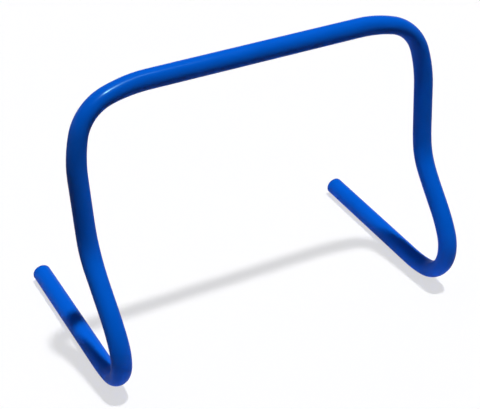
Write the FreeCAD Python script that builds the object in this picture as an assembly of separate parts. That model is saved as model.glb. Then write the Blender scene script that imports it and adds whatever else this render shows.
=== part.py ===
import FreeCAD, Part
import math
import os
from collections import namedtuple

# Speed hurdle: one plastic tube with six bends, closed at each heel by a push-in plug.
# Millimetres and degrees. X runs along the crossbar, the feet run back to +Y, the floor is Z = 0.
# The origin is on the floor, in the middle of the hurdle's width and depth.

# Tube
tube_diameter = 20.0
tube_wall = 2.0

# Straight runs of the tube, each from the end of one bend to the start of the next
bar_straight = 232.0
upper_leg_straight = 46.0
lower_leg_straight = 26.0
foot_straight = 165.0

# Legs: forward angles from the vertical, and the outward lean of each side of the hurdle
upper_leg_angle = 7.2
lower_leg_angle = 42.9
side_lean_angle = 1.1

# Shoulder bend, from the crossbar into the upper leg
shoulder_radius = 49.0
shoulder_run_radius = 147.0
shoulder_run_angle = 16.5
shoulder_flat_share = 0.12

# Knee bend, from the upper leg into the lower leg
knee_radius = 69.0
knee_run_radius = 207.0
knee_run_angle = 5.0
knee_flat_share = 0.07

# Toe bend, from the lower leg into the foot
toe_radius = 43.0
toe_run_radius = 129.0
toe_run_angle = 12.5
toe_flat_share = 0.10

# A bent tube flattens towards the bend's centre and spreads across it by this share of the flattening
spread_share = 0.7

# Each bend is lofted in straight strips that cut inside its arc by no more than this
strip_sag = 0.5

# End plug: a head that covers the tube's end, and a hollow stem with ribs that grip the bore
plug_head = 2.0
plug_head_chamfer = 0.8
plug_stem_length = 14.0
plug_stem_wall = 1.6
plug_rib_count = 6
plug_rib_width = 1.6
plug_rib_height = 1.4
plug_rib_lead = 3.0
plug_rib_clearance = 0.1

Vector = FreeCAD.Vector
Bend = namedtuple("Bend", "radius run_radius run_angle flat_share")
Station = namedtuple("Station", "point heading travel")

tube_radius = tube_diameter / 2
bore_radius = tube_radius - tube_wall
crosswise = Vector(1, 0, 0)
backward = Vector(0, 1, 0)


def leg_heading(angle):
    """The way down a right leg: forward by its angle and inward by the lean of the hurdle's side."""
    down = math.cos(math.radians(angle))
    lean = math.radians(side_lean_angle)
    return Vector(-down * math.sin(lean), -math.sin(math.radians(angle)), -down * math.cos(lean))


def bend_stations(start, heading, next_heading, bend):
    """Points through a bend of three tangent arcs: a gentle run-in, the tight middle, a gentle run-out."""
    axis = heading.cross(next_heading).normalize()
    turn = math.degrees(heading.getAngle(next_heading))
    run_in = (bend.run_radius, bend.run_angle)
    middle = (bend.radius, turn - 2 * bend.run_angle)
    stations = [Station(start, heading, 0)]
    for radius, arc_angle in (run_in, middle, run_in):
        begin = stations[-1]
        centre = begin.point + axis.cross(begin.heading) * radius
        strip_angle = 2 * math.degrees(math.acos(1 - strip_sag / (radius + tube_radius)))
        strips = math.ceil(arc_angle / strip_angle)
        for strip in range(1, strips + 1):
            angle = arc_angle * strip / strips
            direction = FreeCAD.Rotation(axis, angle).multVec(begin.heading)
            point = centre - axis.cross(direction) * radius
            stations.append(Station(point, direction, begin.travel + radius * math.radians(angle)))
    return axis, stations


def right_half_path():
    """Straights and bends of the right half of the tube, from the end of the bar to the heel."""
    legs = [
        (leg_heading(upper_leg_angle), shoulder, upper_leg_straight),
        (leg_heading(lower_leg_angle), knee, lower_leg_straight),
        (backward, toe, foot_straight),
    ]
    straights = []
    bends = []
    point = crosswise * (bar_straight / 2)
    heading = crosswise
    for next_heading, bend, length in legs:
        axis, stations = bend_stations(point, heading, next_heading, bend)
        bends.append((axis, stations, bend.flat_share))
        point = stations[-1].point
        heading = next_heading
        straights.append((point, heading, length))
        point = point + heading * length
    return straights, bends, point


def bend_section(axis, station, flattening, inset):
    """Ellipse square to the tube: flattened towards the bend's centre and spread along its axis."""
    wide = tube_radius * (1 + spread_share * flattening) - inset
    narrow = tube_radius * (1 - flattening) - inset
    ellipse = Part.Wire(Part.Ellipse(Vector(), wide, narrow).toShape())
    across = station.heading.cross(axis)
    ellipse.Placement = FreeCAD.Placement(
        station.point, FreeCAD.Rotation(axis, across, station.heading, "ZXY")
    )
    return ellipse


def bend_solid(axis, stations, flat_share, inset):
    """Ruled loft through a bend, round at both ends and flattest half-way."""
    whole = stations[-1].travel
    sections = []
    for station in stations:
        flattening = flat_share * math.sin(math.pi * station.travel / whole) ** 2
        sections.append(bend_section(axis, station, flattening, inset))
    return Part.makeLoft(sections, True, True)


def mirrored(solid):
    return solid.mirror(Vector(), crosswise)


def sweep(inset):
    """Solid along the whole tube, from heel to heel, inset from the tube's outside."""
    radius = tube_radius - inset
    half = [Part.makeCylinder(radius, length, start, heading) for start, heading, length in straights]
    half += [bend_solid(axis, stations, flat_share, inset) for axis, stations, flat_share in bends]
    bar = Part.makeCylinder(radius, bar_straight, crosswise * (-bar_straight / 2), crosswise)
    return bar.multiFuse(half + [mirrored(solid) for solid in half])


def hurdle_tube():
    return sweep(0).cut(sweep(tube_wall))


def plug_rib(root, reach):
    """Rib along the stem, on its +X side, with a slope that leads it into the bore."""
    outline = Part.makePolygon([
        Vector(root - plug_stem_wall / 2, 0, -plug_rib_width / 2),
        Vector(reach, 0, -plug_rib_width / 2),
        Vector(reach, plug_rib_lead - plug_stem_length, -plug_rib_width / 2),
        Vector(root, -plug_stem_length, -plug_rib_width / 2),
        Vector(root - plug_stem_wall / 2, -plug_stem_length, -plug_rib_width / 2),
        Vector(root - plug_stem_wall / 2, 0, -plug_rib_width / 2),
    ])
    return Part.Face(outline).extrude(Vector(0, 0, plug_rib_width))


def end_plug():
    """Plug on the Y axis: the head's underside is at Y = 0, and the stem points to -Y."""
    grip = bore_radius - plug_rib_clearance
    reach = math.sqrt(grip ** 2 - (plug_rib_width / 2) ** 2)
    root = reach - plug_rib_height
    hollow = root - plug_stem_wall
    outline = Part.makePolygon([
        Vector(0, plug_head),
        Vector(tube_radius - plug_head_chamfer, plug_head),
        Vector(tube_radius, plug_head - plug_head_chamfer),
        Vector(tube_radius, 0),
        Vector(root, 0),
        Vector(root, -plug_stem_length),
        Vector(hollow, -plug_stem_length),
        Vector(hollow, 0),
        Vector(),
        Vector(0, plug_head),
    ])
    core = Part.Face(outline).revolve(Vector(), backward)
    rib = plug_rib(root, reach)
    ribs = [rib.rotated(Vector(), backward, 360 * place / plug_rib_count) for place in range(plug_rib_count)]
    return core.multiFuse(ribs)


shoulder = Bend(shoulder_radius, shoulder_run_radius, shoulder_run_angle, shoulder_flat_share)
knee = Bend(knee_radius, knee_run_radius, knee_run_angle, knee_flat_share)
toe = Bend(toe_radius, toe_run_radius, toe_run_angle, toe_flat_share)

straights, bends, right_heel = right_half_path()
right_plug = end_plug().translated(right_heel)
nodes = {
    "hurdle_tube": hurdle_tube(),
    "right_end_plug": right_plug,
    "left_end_plug": mirrored(right_plug),
}

box = Part.makeCompound(list(nodes.values())).optimalBoundingBox()
to_origin = Vector(0, -(box.YMin + box.YMax) / 2, -box.ZMin)
os.makedirs("parts", exist_ok=True)
for name, solid in nodes.items():
    solid.translated(to_origin).exportStep(f"parts/{name}.step")
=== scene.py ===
import bpy
import math
from collections import namedtuple
from mathutils import Euler, Matrix, Quaternion, Vector


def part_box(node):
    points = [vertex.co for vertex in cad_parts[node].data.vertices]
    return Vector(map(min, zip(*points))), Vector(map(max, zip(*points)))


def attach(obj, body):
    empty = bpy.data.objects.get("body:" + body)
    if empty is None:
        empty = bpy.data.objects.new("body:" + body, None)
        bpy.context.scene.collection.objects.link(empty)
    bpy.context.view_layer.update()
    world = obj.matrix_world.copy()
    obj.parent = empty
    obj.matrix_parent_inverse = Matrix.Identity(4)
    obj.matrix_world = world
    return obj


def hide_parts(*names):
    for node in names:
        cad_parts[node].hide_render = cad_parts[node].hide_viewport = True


# Speed hurdle: one glossy blue plastic tube with six bends, closed at each heel by a push-in plug.
# Metres and degrees, in the frame of the solids: X along the crossbar, feet back to +Y, floor at Z = 0.

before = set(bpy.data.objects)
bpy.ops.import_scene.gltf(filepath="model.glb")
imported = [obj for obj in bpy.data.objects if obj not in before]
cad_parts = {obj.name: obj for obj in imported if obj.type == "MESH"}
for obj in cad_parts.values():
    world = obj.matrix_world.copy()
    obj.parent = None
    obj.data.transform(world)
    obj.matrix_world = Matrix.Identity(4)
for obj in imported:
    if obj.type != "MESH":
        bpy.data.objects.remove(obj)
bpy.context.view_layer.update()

# Tube, as in the solids
tube_wall = 0.002
bar_straight = 0.232
upper_leg_straight = 0.046
lower_leg_straight = 0.026
foot_straight = 0.165
upper_leg_angle = 7.2
lower_leg_angle = 42.9
side_lean_angle = 1.1
spread_share = 0.7

Bend = namedtuple("Bend", "radius run_radius run_angle flat_share")
shoulder = Bend(radius=0.049, run_radius=0.147, run_angle=16.5, flat_share=0.12)
knee = Bend(radius=0.069, run_radius=0.207, run_angle=5.0, flat_share=0.07)
toe = Bend(radius=0.043, run_radius=0.129, run_angle=12.5, flat_share=0.10)

# Plug, as in the solids, with a rounded rim and a moulding mark in the middle of its face
plug_stem_length = 0.014
plug_stem_wall = 0.0016
plug_rib_count = 6
plug_rib_width = 0.0016
plug_rib_height = 0.0014
plug_rib_lead = 0.003
plug_rib_clearance = 0.0001
plug_rim_round = 0.0006
plug_mark_radius = 0.0014
plug_mark_depth = 0.0002

# Rounding of the tube's and the plug's edges where they meet
seam_round = 0.0003

# Meshes: faces round the tube, longest steps through its bends and along its straights, steps through
# a rounded edge, and the angle between faces above which an edge is sharp
sides = 64
bend_step_angle = 3.0
straight_step = 0.010
round_steps = 4
sharp_angle = 50.0

# Share of a step round the plug over which the flank of a rib rises
rib_flank_share = 0.1

# Unrolled map of the tube: its outside in bands, its bore in a narrow strip above them
map_bands = 5
map_gap_share = 0.04
map_bore_share = 0.08

# Colours of the plastic: the two ends of its pigment's range, and where the floor has scuffed it
deep_blue = (0.0, 0.106, 0.62)
light_blue = (0.001, 0.118, 0.68)
scuffed_blue = (0.10, 0.22, 0.62)

# Finish of a piece: lightness of its colour, roughness below and of its glossy skin, height of its ripple
Finish = namedtuple("Finish", "lightness roughness gloss_roughness ripple_height")
tube_finish = Finish(lightness=1, roughness=0.40, gloss_roughness=0.22, ripple_height=0.00003)
plug_finish = Finish(lightness=0.78, roughness=0.50, gloss_roughness=0.30, ripple_height=0.00002)

# Noises in the surface: how fine each one is and how many levels of detail it has
Noise = namedtuple("Noise", "scale detail")
pigment_noise = Noise(scale=16, detail=3)
handling_noise = Noise(scale=42, detail=5)
ripple_noise = Noise(scale=240, detail=1)
scratch_noise = Noise(scale=310, detail=6)
line_noise = Noise(scale=900, detail=2)
grain_noise = Noise(scale=2600, detail=2)

# The part of each noise's range that shows
pigment_range = (0.3, 0.7)
handling_range = (0.35, 0.75)
scratch_range = (0.5, 0.62)
grain_range = (0.3, 0.7)

# Fine lines: how slowly they change along the tube, and how deep they are
line_stretch = 0.01
line_depth = 0.000004

# Scuffs: how far they reach up from the floor, and how strong they get
scuff_height = 0.0022
scuff_share = 0.6

# What handling, grain and scuffs add to the roughness
handling_roughness = 0.04
grain_roughness = 0.02
scuff_roughness = 0.3

# Weight of the glossy skin, clean and smudged, and the gloss of the plastic below it
clean_gloss = 0.12
smudged_gloss = 0.08
inner_gloss = 0.002

# Camera: where it stands, how far it is turned to the right, tipped down and rolled, and its lens in mm
camera_eye = Vector((-0.5366, -0.9897, 0.8677))
camera_azimuth = 28.276
camera_fall = 33.866
camera_roll = 0.273
camera_lens = 95.23

# Light: where each far lamp stands as seen from the hurdle, its width as an angle, and its strength
key_direction = Vector((0.09, -0.15, 0.98))
key_angle = 3.0
key_strength = 2.9
glint_direction = Vector((-0.13, -0.05, 0.985))
glint_angle = 2.0
glint_strength = 10.8

# Long lamp above the bar, and the colour of the two lamps that show only in the gloss
strip_place = (0.15, -0.10, 2.3)
strip_length = 1.0
strip_width = 0.1
strip_power = 36.0
gloss_colour = (0.42, 0.9, 1)

# Room: how strongly it lights the hurdle from the front and from behind, and the Y of the directions
# between which it changes over
front_strength = 0.04
back_strength = 0.28
room_range = (-0.5, 0.5)

# Room as it shows: the Z of the directions between which its white fades, and how bright it is above
horizon_range = (0.2, 0.35)
overhead_strength = 0.03

# Floor: half its width, its colour and its own share of glow as it shows, the share of the light that
# it throws back up near the hurdle, and the distances over which that fades out
floor_reach = 4.0
floor_colour = (0.96, 0.96, 0.96, 1)
floor_glow = 0.65
bounce_share = 0.9
bounce_range = (0.30, 0.36)

# Colour of the light that the room and the floor throw into the shade
shade_colour = (0.8, 0.8, 1, 1)
white = (1, 1, 1, 1)
black = (0, 0, 0, 1)

plug_low, plug_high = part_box("right_end_plug")
tube_radius = (plug_high.x - plug_low.x) / 2
bore_radius = tube_radius - tube_wall
heel_x = (plug_low.x + plug_high.x) / 2
heel_z = (plug_low.z + plug_high.z) / 2
tube_end = Vector((heel_x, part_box("hurdle_tube")[1].y, heel_z))

crosswise = Vector((1, 0, 0))
backward = Vector((0, 1, 0))
upward = Vector((0, 0, 1))
ring_angles = [2 * math.pi * place / sides for place in range(sides)]

Station = namedtuple("Station", "point heading spoke travel bend_axis flattening")


def leg_heading(angle):
    """The way down a right leg: forward by its angle and inward by the lean of the hurdle's side."""
    down = math.cos(math.radians(angle))
    lean = math.radians(side_lean_angle)
    return Vector((-down * math.sin(lean), -math.sin(math.radians(angle)), -down * math.cos(lean)))


def straight_stations(begin, length):
    """Stations along a straight, after its first one."""
    count = math.ceil(length / straight_step)
    stations = []
    for step in range(1, count + 1):
        along = length * step / count
        point = begin.point + begin.heading * along
        stations.append(begin._replace(point=point, travel=begin.travel + along, flattening=0))
    return stations


def bend_stations(begin, next_heading, bend):
    """Stations through a bend of three tangent arcs, after its first one, flattest half-way."""
    axis = begin.heading.cross(next_heading).normalized()
    turn = math.degrees(begin.heading.angle(next_heading))
    run = (bend.run_radius, bend.run_angle)
    middle = (bend.radius, turn - 2 * bend.run_angle)
    whole = sum(radius * math.radians(angle) for radius, angle in (run, middle, run))
    stations = []
    start = begin
    for radius, arc_angle in (run, middle, run):
        centre = start.point + axis.cross(start.heading) * radius
        count = math.ceil(arc_angle / bend_step_angle)
        arc_start = start
        for step in range(1, count + 1):
            angle = math.radians(arc_angle * step / count)
            turned = Quaternion(axis, angle)
            heading = turned @ arc_start.heading
            travel = arc_start.travel + radius * angle
            share = (travel - begin.travel) / whole
            start = Station(
                point=centre - axis.cross(heading) * radius,
                heading=heading,
                spoke=turned @ arc_start.spoke,
                travel=travel,
                bend_axis=axis,
                flattening=bend.flat_share * math.sin(math.pi * share) ** 2,
            )
            stations.append(start)
    return stations


def right_half_path():
    """Stations from the middle of the bar to the end of the right foot, moved to the solids' place."""
    stations = [Station(Vector(), crosswise, upward, 0, backward, 0)]
    stations += straight_stations(stations[-1], bar_straight / 2)
    legs = [
        (leg_heading(upper_leg_angle), shoulder, upper_leg_straight),
        (leg_heading(lower_leg_angle), knee, lower_leg_straight),
        (backward, toe, foot_straight),
    ]
    for next_heading, bend, length in legs:
        stations += bend_stations(stations[-1], next_heading, bend)
        stations += straight_stations(stations[-1], length)
    to_place = tube_end - stations[-1].point
    return [station._replace(point=station.point + to_place) for station in stations]


def ring(station, inset):
    """Points round the tube at a station: a circle, flattened across the bend and spread along its axis."""
    axis = station.bend_axis
    across = station.heading.cross(axis)
    side = station.heading.cross(station.spoke)
    wide = tube_radius * (1 + spread_share * station.flattening) - inset
    narrow = tube_radius * (1 - station.flattening) - inset
    points = []
    for angle in ring_angles:
        spoke = station.spoke * math.cos(angle) + side * math.sin(angle)
        offset = axis * (spoke.dot(axis) * wide) + across * (spoke.dot(across) * narrow)
        points.append(station.point + offset)
    return points


def mirrored(points):
    return [Vector((-point.x, point.y, point.z)) for point in points]


def add_object(name, data):
    added = bpy.data.objects.new(name, data)
    bpy.context.scene.collection.objects.link(added)
    return added


def finish_mesh(mesh, vertices, faces):
    mesh.from_pydata(vertices, [], faces)
    mesh.shade_smooth()
    mesh.set_sharp_from_angle(angle=math.radians(sharp_angle))


def round_places(radius):
    """Steps through a quarter round: how far short of the end and how far in from the side.

    A place on the flat before the round, and one after it, keep the shading of both flats flat.
    """
    places = [(2 * radius, 0)]
    for step in range(round_steps + 1):
        angle = math.radians(90 * step / round_steps)
        places.append((radius * (1 - math.sin(angle)), radius * (1 - math.cos(angle))))
    return places + [(0, 2 * radius)]


def tube_rows():
    """Rows (station, inset) of the right half: from mid-bar along the outside, and back through the bore."""
    path = right_half_path()
    end = path[-1]
    outside = [(station, 0) for station in path[:-1]]
    for short, inset in round_places(seam_round):
        point = end.point - end.heading * short
        outside.append((end._replace(point=point, travel=end.travel - short), inset))
    bore = [(station, tube_wall) for station in reversed(path)]
    return outside, bore


def unroll(mesh, along, bands):
    """UV map of rows of faces, from where their edges lie along the tube and their bands of the map.

    A band is (low, height, start, length): its edge and height in the map, and its part of the tube.
    """
    layer = mesh.uv_layers.new(name="OFBake")
    corner = 0
    for row, (low, height, start, length) in enumerate(bands):
        near = (along[row] - start) / length
        far = (along[row + 1] - start) / length
        for place in range(sides):
            left = low + height * place / sides
            right = low + height * (place + 1) / sides
            for u, v in ((near, left), (near, right), (far, right), (far, left)):
                layer.data[corner].uv = (u, v)
                corner += 1


def tube_bands(along, outside_rows):
    """The map's band for each row of faces, given where the rows' edges lie along the unrolled tube."""
    usable = 1 - 2 * map_gap_share
    outside_length = along[outside_rows]
    bore_length = along[-1] - outside_length
    band_length = outside_length / map_bands
    pitch = (1 - map_bore_share) / map_bands
    bands = []
    for row in range(len(along) - 1):
        middle_of_row = (along[row] + along[row + 1]) / 2
        if row < outside_rows:
            band = min(int(middle_of_row / band_length), map_bands - 1)
            low = pitch * (band + map_gap_share)
            start = band * band_length - band_length * map_gap_share
            bands.append((low, pitch * usable, start, band_length * (1 + 2 * map_gap_share)))
        else:
            low = 1 - map_bore_share * (1 - map_gap_share)
            bands.append((low, map_bore_share * usable, outside_length, bore_length))
    return bands


def hurdle_tube():
    """The hollow tube from heel to heel: its outside one way, its bore back again."""
    outside, bore = tube_rows()
    rows = [(station, inset, -1) for station, inset in outside[:0:-1]]
    rows += [(station, inset, 1) for station, inset in outside]
    outside_rows = len(rows)
    rows += [(station, inset, 1) for station, inset in bore]
    rows += [(station, inset, -1) for station, inset in bore[-2::-1]]
    vertices = []
    unbent = []
    for station, inset, side in rows:
        points = ring(station, inset)
        vertices += points if side > 0 else mirrored(points)
        reach = tube_radius - inset
        for angle in ring_angles:
            unbent.append((reach * math.cos(angle), reach * math.sin(angle), side * station.travel))
    faces = []
    along = [0]
    for row in range(len(rows)):
        low = row * sides
        high = (row + 1) % len(rows) * sides
        for place in range(sides):
            beside = (place + 1) % sides
            faces.append((low + place, low + beside, high + beside, high + place))
        along.append(along[-1] + (vertices[high] - vertices[low]).length)
    mesh = bpy.data.meshes.new("hurdle_tube_skin")
    finish_mesh(mesh, vertices, faces)
    places = mesh.attributes.new("tube_place", "FLOAT_VECTOR", "POINT")
    places.data.foreach_set("vector", [value for place in unbent for value in place])
    unroll(mesh, along, tube_bands(along, outside_rows - 1))
    return add_object("hurdle_tube_skin", mesh)


def plug_angles():
    """Angles round a plug, with the flanks of each rib kept, and whether each lies on a rib."""
    half = math.degrees(math.asin(plug_rib_width / 2 / (bore_radius - plug_rib_clearance)))
    pitch = 360 / plug_rib_count
    fills = sides // plug_rib_count
    angles = []
    for rib in range(plug_rib_count):
        angles += [(rib * pitch - half, True), (rib * pitch, True), (rib * pitch + half, True)]
        for fill in range(fills + 1):
            share = (fill + rib_flank_share) / (fills + 2 * rib_flank_share)
            angles.append((rib * pitch + half + (pitch - 2 * half) * share, False))
    return angles


def end_plug(name, end):
    """Push-in plug at the tube's end: rounded head, and a hollow stem with ribs inside the bore."""
    head = plug_high.y - end.y
    reach = bore_radius - plug_rib_clearance
    root = reach - plug_rib_height
    hollow = root - plug_stem_wall
    rows = [
        (plug_mark_radius, head - plug_mark_depth),
        (plug_mark_radius + plug_mark_depth, head),
        (plug_mark_radius + 2 * plug_mark_depth, head),
    ]
    rows += [(tube_radius - inset, head - short) for short, inset in reversed(round_places(plug_rim_round))]
    rows += [(tube_radius - inset, short) for short, inset in round_places(seam_round)]
    profile = [(radius, radius, back) for radius, back in rows]
    profile += [
        (root, reach, 0),
        (root, reach, plug_rib_lead - plug_stem_length),
        (root, root, -plug_stem_length),
        (hollow, hollow, -plug_stem_length),
        (hollow, hollow, 0),
    ]
    angles = plug_angles()
    count = len(angles)
    vertices = [end + backward * (head - plug_mark_depth)]
    for radius, rib_radius, back in profile:
        for angle, on_rib in angles:
            out = rib_radius if on_rib else radius
            turned = math.radians(angle)
            offset = Vector((math.cos(turned) * out, back, math.sin(turned) * out))
            vertices.append(end + offset)
    vertices.append(end.copy())
    faces = [(0, 1 + (place + 1) % count, 1 + place) for place in range(count)]
    for row in range(len(profile) - 1):
        low = 1 + row * count
        for place in range(count):
            beside = (place + 1) % count
            faces.append((low + place, low + beside, low + count + beside, low + count + place))
    last = 1 + (len(profile) - 1) * count
    faces += [(last + place, last + (place + 1) % count, len(vertices) - 1) for place in range(count)]
    mesh = bpy.data.meshes.new(name)
    finish_mesh(mesh, vertices, faces)
    return add_object(name, mesh)


def add_node(tree, kind, inputs, **settings):
    """A node with its settings, and each input set to a value or linked to an output."""
    node = tree.nodes.new(kind)
    for setting, value in settings.items():
        setattr(node, setting, value)
    for socket, value in inputs.items():
        if isinstance(value, bpy.types.NodeSocket):
            tree.links.new(value, node.inputs[socket])
        else:
            node.inputs[socket].default_value = value
    return node


def noise_value(tree, place, noise):
    inputs = {"Vector": place, "Scale": noise.scale, "Detail": noise.detail}
    return add_node(tree, "ShaderNodeTexNoise", inputs).outputs["Fac"]


def ranged(tree, value, known, wanted):
    """A value taken from its known (low, high) range to the wanted one, and held inside that."""
    inputs = {
        "Value": value, "From Min": known[0], "From Max": known[1], "To Min": wanted[0], "To Max": wanted[1]
    }
    return add_node(tree, "ShaderNodeMapRange", inputs).outputs["Result"]


def blended(tree, share, first, second):
    inputs = {"Factor": share, "A": first, "B": second}
    return add_node(tree, "ShaderNodeMix", inputs, data_type="RGBA").outputs["Result"]


def combined(tree, operation, first, second):
    return add_node(tree, "ShaderNodeMath", {0: first, 1: second}, operation=operation).outputs["Value"]


def bumped(tree, height, distance, **below):
    inputs = {"Height": height, "Distance": distance, "Strength": 1, **below}
    return add_node(tree, "ShaderNodeBump", inputs).outputs["Normal"]


def toned(colour, lightness):
    return (*[channel * lightness for channel in colour], 1)


def plastic(name, place_name, finish):
    """Blue plastic with a glossy skin: pigment that varies, fine lines, a soft ripple, smudges, scuffs."""
    material = bpy.data.materials.new(name)
    material.use_nodes = True
    tree = material.node_tree
    shader = tree.nodes["Principled BSDF"]
    if place_name:
        place = add_node(tree, "ShaderNodeAttribute", {}, attribute_name=place_name).outputs["Vector"]
    else:
        place = add_node(tree, "ShaderNodeTexCoord", {}).outputs["Object"]
    lengthwise = {"Vector": place, "Scale": (1, 1, line_stretch)}
    stretched = add_node(tree, "ShaderNodeMapping", lengthwise).outputs["Vector"]
    handling = noise_value(tree, place, handling_noise)

    position = add_node(tree, "ShaderNodeNewGeometry", {}).outputs["Position"]
    height = add_node(tree, "ShaderNodeSeparateXYZ", {"Vector": position}).outputs["Z"]
    near_floor = ranged(tree, height, (0, scuff_height), (1, 0))
    scratches = ranged(tree, noise_value(tree, place, scratch_noise), scratch_range, (0, scuff_share))
    scuff = combined(tree, "MULTIPLY", near_floor, scratches)

    pigment = ranged(tree, noise_value(tree, place, pigment_noise), pigment_range, (0, 1))
    blue = blended(tree, pigment, toned(deep_blue, finish.lightness), toned(light_blue, finish.lightness))
    colour = blended(tree, scuff, blue, toned(scuffed_blue, finish.lightness))

    least_rough = finish.roughness - handling_roughness
    most_rough = finish.roughness + handling_roughness
    smudged = ranged(tree, handling, handling_range, (least_rough, most_rough))
    grain = noise_value(tree, place, grain_noise)
    grained = ranged(tree, grain, grain_range, (-grain_roughness, grain_roughness))
    scuffed = ranged(tree, scuff, (0, scuff_share), (0, scuff_roughness))
    rough = combined(tree, "ADD", combined(tree, "ADD", smudged, grained), scuffed)

    rippled = bumped(tree, noise_value(tree, place, ripple_noise), finish.ripple_height)
    lined = bumped(tree, noise_value(tree, stretched, line_noise), line_depth, Normal=rippled)

    skin = ranged(tree, handling, handling_range, (clean_gloss, smudged_gloss))
    unscuffed = ranged(tree, scuff, (0, scuff_share), (1, 0))
    gloss = combined(tree, "MULTIPLY", skin, unscuffed)

    tree.links.new(colour, shader.inputs["Base Color"])
    tree.links.new(rough, shader.inputs["Roughness"])
    tree.links.new(lined, shader.inputs["Normal"])
    tree.links.new(lined, shader.inputs["Coat Normal"])
    tree.links.new(gloss, shader.inputs["Coat Weight"])
    shader.inputs["Coat Roughness"].default_value = finish.gloss_roughness
    shader.inputs["Specular IOR Level"].default_value = inner_gloss
    return material


def add_camera():
    data = bpy.data.cameras.new("camera")
    data.lens = camera_lens
    camera = add_object("camera", data)
    turn = Euler((math.radians(90 - camera_fall), 0, math.radians(-camera_azimuth))).to_matrix()
    turn = turn @ Matrix.Rotation(math.radians(camera_roll), 3, "Z")
    camera.matrix_world = Matrix.Translation(camera_eye) @ turn.to_4x4()
    bpy.context.scene.camera = camera


def seen_share(tree):
    """One for rays that the camera sees directly, in a reflection or through something clear."""
    rays = add_node(tree, "ShaderNodeLightPath", {}).outputs
    direct = combined(tree, "MAXIMUM", rays["Is Camera Ray"], rays["Is Glossy Ray"])
    return combined(tree, "MAXIMUM", direct, rays["Is Transmission Ray"])


def add_floor():
    """White floor that keeps a pale shadow, and that throws light back up only close to the hurdle."""
    mesh = bpy.data.meshes.new("floor")
    corners = [(-1, -1), (1, -1), (1, 1), (-1, 1)]
    mesh.from_pydata([(x * floor_reach, y * floor_reach, 0) for x, y in corners], [], [(0, 1, 2, 3)])
    material = bpy.data.materials.new("floor_white")
    material.use_nodes = True
    tree = material.node_tree
    tree.nodes.remove(tree.nodes["Principled BSDF"])
    seen = seen_share(tree)
    place = add_node(tree, "ShaderNodeNewGeometry", {}).outputs["Position"]
    away = add_node(tree, "ShaderNodeVectorMath", {0: place}, operation="LENGTH").outputs["Value"]
    thrown_share = ranged(tree, away, bounce_range, (bounce_share, 0))
    thrown = blended(tree, thrown_share, black, shade_colour)
    colour = blended(tree, seen, thrown, floor_colour)
    matte = add_node(tree, "ShaderNodeBsdfDiffuse", {"Color": colour}).outputs["BSDF"]
    glow = add_node(tree, "ShaderNodeEmission", {"Color": white, "Strength": 1}).outputs["Emission"]
    share = combined(tree, "MULTIPLY", seen, floor_glow)
    mixed = add_node(tree, "ShaderNodeMixShader", {0: share, 1: matte, 2: glow}).outputs["Shader"]
    tree.links.new(mixed, tree.nodes["Material Output"].inputs["Surface"])
    mesh.materials.append(material)
    add_object("floor", mesh)


def add_far_lamp(name, direction, angle, strength):
    """Far lamp in a direction seen from the hurdle, as wide as the angle."""
    data = bpy.data.lights.new(name, "SUN")
    data.angle = math.radians(angle)
    data.energy = strength
    lamp = add_object(name, data)
    lamp.rotation_euler = direction.to_track_quat("Z", "Y").to_euler()
    return lamp


def add_lamps():
    """Key that lights the colour, and two lamps that show only in the gloss: a glint and a strip."""
    key = add_far_lamp("key", key_direction, key_angle, key_strength)
    key.visible_glossy = False
    glint = add_far_lamp("glint", glint_direction, glint_angle, glint_strength)
    data = bpy.data.lights.new("strip", "AREA")
    data.shape = "RECTANGLE"
    data.size = strip_length
    data.size_y = strip_width
    data.energy = strip_power
    strip = add_object("strip", data)
    strip.location = strip_place
    for lamp in (glint, strip):
        lamp.data.color = gloss_colour
        lamp.visible_diffuse = False


def add_surround():
    """Dim room, lighter behind the hurdle, and white near the horizon where it shows behind the floor."""
    world = bpy.data.worlds.new("surround")
    bpy.context.scene.world = world
    world.use_nodes = True
    tree = world.node_tree
    toward = add_node(tree, "ShaderNodeTexCoord", {}).outputs["Generated"]
    direction = add_node(tree, "ShaderNodeSeparateXYZ", {"Vector": toward}).outputs
    shown = ranged(tree, direction["Z"], horizon_range, (1, overhead_strength))
    dim = ranged(tree, direction["Y"], room_range, (front_strength, back_strength))
    seen = seen_share(tree)
    strength = add_node(tree, "ShaderNodeMix", {"Factor": seen, "A": dim, "B": shown}).outputs["Result"]
    background = tree.nodes["Background"]
    tree.links.new(blended(tree, seen, shade_colour, white), background.inputs["Color"])
    tree.links.new(strength, background.inputs["Strength"])


def dress(piece, node, material):
    piece.data.materials.append(material)
    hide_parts(node)
    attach(piece, "root")


dress(hurdle_tube(), "hurdle_tube", plastic("tube_blue", "tube_place", tube_finish))
plug_blue = plastic("plug_blue", None, plug_finish)
dress(end_plug("right_plug", tube_end), "right_end_plug", plug_blue)
dress(end_plug("left_plug", mirrored([tube_end])[0]), "left_end_plug", plug_blue)

add_camera()
add_floor()
add_lamps()
add_surround()
bpy.context.scene.view_settings.view_transform = "Standard"
